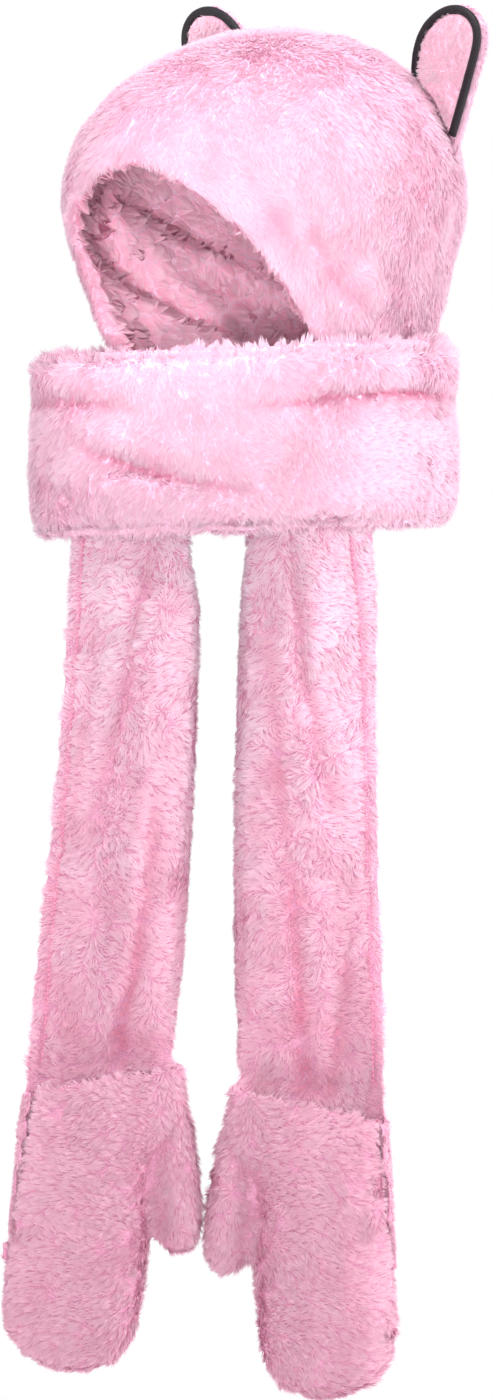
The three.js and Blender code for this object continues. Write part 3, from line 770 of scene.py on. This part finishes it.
WHORL = np.array([-12.04, 45, 0]) * MM  # the crown's pile falls away from here
SWIRL_SPOT = (255, 205)  # a brushed patch beside the face opening
SWIRL_REACH = 45
SWEPT_COLUMNS = (230, 350)  # the wrap at the right of the view, brushed round, not down
SWEPT_ROWS = ((398, 428), (505, 480))
SLANT_COLUMNS = (200, 120)  # the wrap at the left of the view, brushed aslant
SLANT_ROWS = ((405, 425), (490, 470))
THUMB_EDGE = {"left": 252, "right": 150}  # columns where the thumbs begin
THUMB_FADE = 14
PARTINGS = {
    "right": [(152, 500), (146, 585), (122, 690), (106, 760), (96, 850), (98, 1000), (100, 1090)],
    "left": [(284, 500), (292, 590), (304, 680), (318, 760), (330, 850), (322, 960), (312, 1100)],
}


def nap_down(points, places, normals):
    return DOWN + 0 * points


def nap_hood(points, places, normals):
    out = points * (1, 1, 0) - WHORL
    fall = out / (0.05 + np.linalg.norm(out, axis=1, keepdims=True)) * 0.8 + DOWN * 0.75
    swirl = np.exp(-(((places - SWIRL_SPOT) / SWIRL_REACH) ** 2).sum(axis=1))
    return blend(fall, np.array([0.9, 0, -0.2]), swirl)


def nap_lining(points, places, normals):
    return np.array([0.35, 0, -1.0]) + 0 * points


def patch_share(places, columns, rows):
    """1 in a patch of the view, fading out at one side and at its upper and lower edge."""
    x, y = places.T
    return rise(x, *columns) * rise(y, *rows[0]) * rise(y, *rows[1])


def nap_wrap(points, places, normals):
    around = np.cross(np.array([0, 0, 1.0]), outward_of(points))
    swept = patch_share(places, SWEPT_COLUMNS, SWEPT_ROWS)
    base = blend(DOWN + 0.1 * around, around + DOWN * 0.55, swept * 0.9)
    slanted = patch_share(places, SLANT_COLUMNS, SLANT_ROWS)
    return blend(base, DOWN * 0.9 - 0.8 * around, slanted * 0.8)


def nap_tail(parting):
    """Away from the parting to both sides on the front, down on the back."""
    columns, rows = zip(*parting)

    def nap(points, places, normals):
        aside = np.tanh((places[:, 0] - np.interp(places[:, 1], rows, columns)) / 9)
        front = np.array([1.0, 0, 0]) * aside[:, None] + DOWN * 0.42
        return blend(DOWN + 0 * front, front, 0.6 - 2 * normals[:, 1])

    return nap


def nap_mitten(turn, thumb_edge):
    """Across the hand, and down on the thumb. turn is 1 or -1, the way across."""

    def nap(points, places, normals):
        base = np.array([turn, 0, -0.22]) + 0 * points
        thumb = rise(places[:, 0], thumb_edge, thumb_edge - turn * THUMB_FADE)
        return blend(base, np.array([-0.5 * turn, 0, -0.9]), thumb)

    return nap


TOPSTITCH = {
    "tail_right": [
        (84, 535),
        (81, 600),
        (77, 660),
        (72, 720),
        (67, 790),
        (60, 860),
        (53, 930),
        (47, 1000),
        (41, 1065),
    ],
    "tail_left": [
        (349, 535),
        (357, 600),
        (362, 680),
        (364, 760),
        (366, 850),
        (369, 940),
        (372, 1010),
        (374, 1085),
    ],
}
STITCH_DIP = 3.2  # how far the stitches draw the pile in to either side, in steps of one PIXEL

# Rims whose pile stands up over the edge, and how much longer it is there
RIMS = {"neck_wrap": 0.1, "mitten_front_left": 0.35, "mitten_front_right": 0.35}

# Share of the pile that is left where other cloth covers a skin
COVERED_PILE = {"pale": 0.08, "ear": 0.08, "rose": 0.3}

# How strongly creases get painted shade, and the rows over which a tail's colour deepens towards the bottom
CREASE_PAINTED_SHADE = {"neck_wrap": 0.95}
OTHER_CREASE_PAINTED_SHADE = 0.6
TAIL_ROWS = (540, 1060)


def planting(node, only):
    """How thickly each point of a skin is planted."""
    surface = surfaces[node]
    least = COVERED_PILE[SKINS[node]["look"]]
    weights = least + (1 - least) * np.clip(open_share[node] * 1.3, 0, 1)
    if node in RIMS:
        weights = np.maximum(weights, np.clip(surface.normals[:, 2] * 2 - 0.4, 0, 1))
    return weights if only is None else weights * only + 1e-9


def drift(points, wave, seed):
    """A direction at each point that changes from place to place. wave is in mm."""
    return np.stack([Waves(wave * MM, seed + k)(points) for k in range(3)], axis=1)


def stitch_dip(node, places, normals):
    """How near each place lies to its tail's topstitching, on the front only."""
    if node not in TOPSTITCH:
        return np.zeros(len(places))
    gap = line_field(places, [(x, y, 0) for x, y in TOPSTITCH[node]])[0]
    return np.exp(-((gap / STITCH_DIP) ** 2)) * (normals[:, 1] < -0.2)


def at_rim(node, points, normals):
    """The way out over a rim, how far the pile stands up there, and where it is pressed short."""
    away = outward_of(points) if node == "neck_wrap" else np.array([0, -1.0, 0]) + 0 * points
    outer = (away * normals).sum(axis=1)
    stand = np.clip(normals[:, 2] * 1.8 - 0.3, 0, 1) * np.clip(outer * 2.5 + 0.9, 0, 1)
    pressed = np.clip(normals[:, 2] * 2, 0, 1) * (outer < -0.2)
    return away, stand, pressed


def plush(node, count, mean, style, nap, swirl, seed, only=None, name=None, look=None):
    """The pile of one skin, of count fibres with this mean length in mm."""
    row = SKINS[node]
    rng = np.random.default_rng(seed)
    at, points, normals = sample(surfaces[node], planting(node, only), count, rng)
    places = seen_at(points)
    sway = drift(points, SLOW_WAVE, seed) + 0.6 * drift(points, QUICK_WAVE, seed + 10)
    comb = unit(nap(points, places, normals)) + sway * swirl
    crease = at(creases[node])
    dip = stitch_dip(node, places, normals)
    patch = Waves(LENGTH_WAVE * MM, seed + 20)(points)
    length = mean * MM * (1 + 0.1 * patch) * rng.uniform(0.8, 1.15, count)
    length *= 1 - 0.6 * dip
    length *= 1 - 0.5 * crease
    uneven = 0.05 * (1 + Waves(TONE_WAVE * MM, seed + 30)(points))
    # Painted shade in creases and in the dimple along the stitching, with slow changes of tone
    painted_shade_and_tone = CREASE_PAINTED_SHADE.get(node, OTHER_CREASE_PAINTED_SHADE) * crease + uneven + 0.38 * dip
    if node.startswith("tail"):
        length *= 1 - 0.35 * np.clip(np.abs(normals[:, 0]) * 1.5 - 0.4, 0, 1)
        painted_shade_and_tone = painted_shade_and_tone + 0.34 * rise(places[:, 1], *TAIL_ROWS)
    # Painted shade in a band round the hood's rim, where the outside turns into the lining
    if node == "hood":
        painted_shade_and_tone = painted_shade_and_tone + 0.5 * at(4 * lining * (1 - lining))
    stand, facing = np.zeros(count), normals
    if node in RIMS:
        away, stand, pressed = at_rim(node, points, normals)
        length *= 1 + RIMS[node] * stand - 0.5 * pressed
        facing = unit(normals * (1 - 0.7 * stand[:, None]) + away * stand[:, None])
        if node != "neck_wrap":
            comb = blend(comb, away + (0, 0, 0.3), stand * 0.7)
    name = name or node + "_pile"
    look = look or row.get("pile", row["look"])
    painted_shade_and_tone = np.clip(painted_shade_and_tone, 0, 1)
    return grow(name, points, normals, comb, length, painted_shade_and_tone, stand, facing, look, row["slot"], rng, style)


plush("hood", 170000, 6.6, SLEEK, nap_hood, swirl=0.24, seed=11, only=1 - lining)
lining_names = {"name": "hood_lining_pile", "look": "inner"}
plush("hood", 104000, 7.0, LINING, nap_lining, swirl=0.4, seed=12, only=lining, **lining_names)
plush("neck_wrap", 156000, 6.6, LONG, nap_wrap, swirl=0.36, seed=21)
for side, seed in (("left", 31), ("right", 32)):
    plush("tail_" + side, 97000, 6.0, LONG, nap_tail(PARTINGS[side]), swirl=0.5, seed=seed)
for side, turn, seed in (("left", 1, 41), ("right", -1, 42)):
    nap = nap_mitten(turn, THUMB_EDGE[side])
    plush("mitten_front_" + side, 38500, 5.6, LONG, nap, swirl=0.36, seed=seed)
for side, seed in (("left", 51), ("right", 61)):
    plush("ear_back_" + side, 12000, 4.6, SHORT, nap_down, swirl=0.5, seed=seed)
    plush("ear_panel_" + side, 9000, 3.2, SHORT, nap_down, swirl=0.7, seed=seed + 1)


# Tubes: the ears' piping and the welt in the mittens' seams


def tube(name, path, radii, material, sides):
    """A round tube along a path. radii has two directions and half the width along each."""
    across, lift, wide, high = radii
    rings = []
    for angle in np.linspace(0, 2 * math.pi, sides + 1)[:-1]:
        rings.append(path + across * (wide * math.cos(angle)) + lift * (high * math.sin(angle)))
    points = np.stack(rings, axis=1).reshape(-1, 3)
    last = (len(path) - 1) * sides
    faces = []
    for ring in range(0, last, sides):
        for k in range(sides):
            n = (k + 1) % sides
            faces.append((ring + k, ring + n, ring + sides + n, ring + sides + k))
    faces.append(tuple(range(sides))[::-1])
    faces.append(tuple(last + k for k in range(sides)))
    return add_piece(name, smooth_mesh(name, points.tolist(), faces), material)


def eased(path, rounds):
    """A path with its kinks smoothed out, its ends kept."""
    for _ in range(rounds):
        path[1:-1] = (path[:-2] + 2 * path[1:-1] + path[2:]) / 4
    return path


PIPING_WIDE = 3.1 * MM  # half its width in the ear's plane
PIPING_HIGH = 2.2 * MM  # half its height over that plane
PIPING_SIDES = 14
PIPING_STEPS = 110
PIPING_END = 0.03  # radians round the ear's middle, at which it stops short of its trim's ends
PIPING_SLICE = 0.05  # radians to either side that make one point of its path


def ear_spine(trim, middle, lift, wide_way):
    """The middle of an ear's trim, from one of its open ends to the other."""
    plane = np.array([wide_way, np.cross(lift, wide_way)])
    flat = (trim.points - middle) @ plane.T
    angle = np.arctan2(flat[:, 1], flat[:, 0])
    order = np.sort(angle)
    widest_gap = np.argmax(np.diff(np.append(order, order[0] + 2 * math.pi)))
    start = order[(widest_gap + 1) % len(order)]
    turn = (angle - start) % (2 * math.pi)
    steps = np.linspace(PIPING_END, turn.max() - PIPING_END, PIPING_STEPS)
    slices = [trim.points[np.abs(turn - step) < PIPING_SLICE] for step in steps]
    return eased(np.array([points.mean(axis=0) for points in slices]), 6)


for side in SIDES:
    trim = remeshed(["ear_trim_" + side], 1.0 * MM)
    middle = surfaces["ear_panel_" + side].points.mean(axis=0)
    spread = np.linalg.svd(trim.points - trim.points.mean(axis=0), full_matrices=False)[2]
    lift = spread[2] * (1 if spread[2] @ (CAMERA_X, -1, 0) > 0 else -1)
    spine = ear_spine(trim, middle, lift, spread[0])
    outward = unit(np.cross(np.gradient(spine, axis=0), lift))
    radii = (outward, lift, PIPING_WIDE, PIPING_HIGH)
    piece = tube("ear_piping_" + side, spine, radii, piping, PIPING_SIDES)
    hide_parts("ear_trim_" + side)


# Lines drawn in the view and laid onto the front cloth

front_names = [part + side for part in ("tail_", "mitten_front_") for side in SIDES]
front_trees = {node: surfaces[node].tree() for node in front_names}


def place_in_frame(across, down):
    """Where a place in the view lies across and upright in the frame, at VIEW_PLANE_Y."""
    return AXIS[0] + (across - AXIS_COLUMN) * PIXEL, (ORIGIN_ROW - down) * PIXEL


def front_of(node, across, down):
    """The point and normal where a skin is met straight behind a place, or None twice."""
    x, z = place_in_frame(across, down)
    hit = front_trees[node].ray_cast(Vector((x, -0.3, z)), Vector((0, 1, 0)))
    return (None, None) if hit[0] is None else (np.array(hit[0]), np.array(hit[1]))


def walk(line, step):
    """Places a fixed step apart along a line of the view."""
    line = np.array(line, float)
    length = np.concatenate([[0], np.cumsum(np.linalg.norm(np.diff(line, axis=0), axis=1))])
    at = np.arange(0, length[-1], step)
    return np.stack([np.interp(at, length, line[:, 0]), np.interp(at, length, line[:, 1])], axis=1)


# Topstitching: a row of short thick stitches beside each tail's outer edge

STITCH_STEP = 3.1 * MM / PIXEL  # from one to the next, in steps of one PIXEL
STITCH_SHARE = 0.72  # of that step
STITCH_RISE = 1.3 * MM  # above the backing
STITCH_WIDE = 0.55 * MM  # half the width
STITCH_HIGH = 0.5 * MM  # half the height
STITCH_SIDES = 6

thread, thread_shader = plain_material("thread_rose", srgb(222, 130, 164), 0.6)
set_cloth(thread_shader, 0.6, 0.2, PALE["tip"])


def add_stitch(points, faces, start, end, normal):
    """Adds one stitch, a hexagonal thread with both ends dipping into the cloth."""
    across = unit(np.cross(end - start, normal)) * STITCH_WIDE
    lift = normal * STITCH_HIGH
    turns = np.arange(STITCH_SIDES) * 2 * math.pi / STITCH_SIDES
    first = len(points)
    points.append(start - lift * 2)
    for share in (0.2, 0.8):
        center = start + (end - start) * share
        points += [center + across * math.cos(t) + lift * math.sin(t) for t in turns]
    points.append(end - lift * 2)
    near, far = first + 1, first + 1 + STITCH_SIDES
    for k in range(STITCH_SIDES):
        n = (k + 1) % STITCH_SIDES
        faces.append((first, near + n, near + k))
        faces.append((near + k, near + n, far + n, far + k))
        faces.append((far + k, far + n, far + STITCH_SIDES))


def add_topstitch(node, line):
    points, faces = [], []
    spots = walk(line, STITCH_STEP)
    for spot, following in zip(spots, spots[1:]):
        start, normal = front_of(node, *spot)
        end, _ = front_of(node, *(spot + (following - spot) * STITCH_SHARE))
        if start is not None and end is not None:
            lift = normal * STITCH_RISE
            add_stitch(points, faces, start + lift, end + lift, normal)
    name = node + "_stitches"
    mesh = bpy.data.meshes.new(name)
    mesh.from_pydata([tuple(p) for p in points], [], faces)
    mesh.update()
    add_piece(name, mesh, thread)


for node, line in TOPSTITCH.items():
    add_topstitch(node, line)


# The welt in each mitten's outer seam, and the pile laid over it

SEAM = {
    "right": [(30, 1092), (26, 1133), (21, 1187), (16, 1216), (14, 1236)],
    "left": [(378, 1118), (382, 1160), (384, 1200), (386, 1240), (387, 1256)],
}
SEAM_STEP = 5
SEAM_SEARCH = np.arange(-8, 8.1, 0.7)  # how far to either side the seam's gap may lie
GAP_Y = -0.1235  # where all cloth lies further back than this, the seam is open
WELT_Y = -0.1262
WELT_WIDE = 2.6 * MM  # half the width
WELT_HIGH = 2.8 * MM  # half the depth
WELT_SIDES = 10
SEAM_FIBRES = 5000


def seam_gap(side, across, down):
    """The middle of the gap beside a place on the seam, or the place itself where it is closed."""
    open_spots = []
    for spot in across + SEAM_SEARCH:
        hits = [front_of(part + side, spot, down)[0] for part in ("mitten_front_", "tail_")]
        depths = [hit[1] for hit in hits if hit is not None]
        if depths and min(depths) > GAP_Y:
            open_spots.append(spot)
    return np.median(open_spots) if open_spots else across


def seam_path(side):
    path = []
    for across, down in walk(SEAM[side], SEAM_STEP):
        x, z = place_in_frame(seam_gap(side, across, down), down)
        path.append((x, WELT_Y, z))
    return eased(np.array(path), 8)


def add_welt(side, path):
    """A tube that tapers to both ends."""
    taper = np.sin(np.linspace(0.12, 0.9, len(path)) * math.pi)[:, None] ** 0.5
    radii = (np.array([1.0, 0, 0]), np.array([0, 1.0, 0]), WELT_WIDE * taper, WELT_HIGH * taper)
    tube("mitten_welt_" + side, path, radii, backing_looks["welt"], WELT_SIDES)


def add_seam_pile(side, path, seed):
    """Pile over the welt, with painted shade for the seam's gap, deepest along a line just inside its
    middle.
    """
    rng = np.random.default_rng(seed)
    count = SEAM_FIBRES
    inward = 1 if side == "right" else -1
    along = rng.uniform(0, len(path) - 1, count)
    level = np.zeros(count)
    aside = rng.uniform(-2.6, 4.6, count)
    spots = np.stack([np.interp(along, np.arange(len(path)), path[:, k]) for k in range(3)], axis=1)
    spots += np.stack([aside * inward, -1.6 - 0.25 * np.abs(aside), level], axis=1) * MM
    out = unit(np.stack([rng.normal(0, 0.25, count), level - 1, rng.normal(0, 0.2, count)], axis=1))
    comb = np.stack([rng.normal(0.25, 0.45, count) * inward, level, level - 1], axis=1)
    length = rng.uniform(3.5, 6.5, count) * MM
    # Painted shade of the seam's gap, deepest just inside the welt's middle
    painted_shade_and_tone = 0.12 + 0.75 * np.exp(-(((aside - 1.0) / 1.1) ** 2))
    rest = (painted_shade_and_tone, level + 0.15, out, "deep_rose", "plush_rose", rng, LONG)
    grow("mitten_seam_pile_" + side, spots, out, comb, length, *rest)


for side, seed in (("right", 71), ("left", 72)):
    path = seam_path(side)
    add_welt(side, path)
    add_seam_pile(side, path, seed)


# A plain pale floor well below the mittens

FLOOR_Z = -1.6
FLOOR_RADIUS = 1.7
FLOOR_SIDES = 72

floor = bpy.data.meshes.new("floor")
turns = np.linspace(0, 2 * math.pi, FLOOR_SIDES + 1)[:-1]
ring = [(FLOOR_RADIUS * math.cos(t), FLOOR_RADIUS * math.sin(t), FLOOR_Z) for t in turns]
floor.from_pydata(ring, [], [tuple(range(FLOOR_SIDES))])
floor.materials.append(plain_material("floor", (0.86, 0.86, 0.87), 0.8)[0])
floor_piece = bpy.data.objects.new("floor", floor)
bpy.context.scene.collection.objects.link(floor_piece)
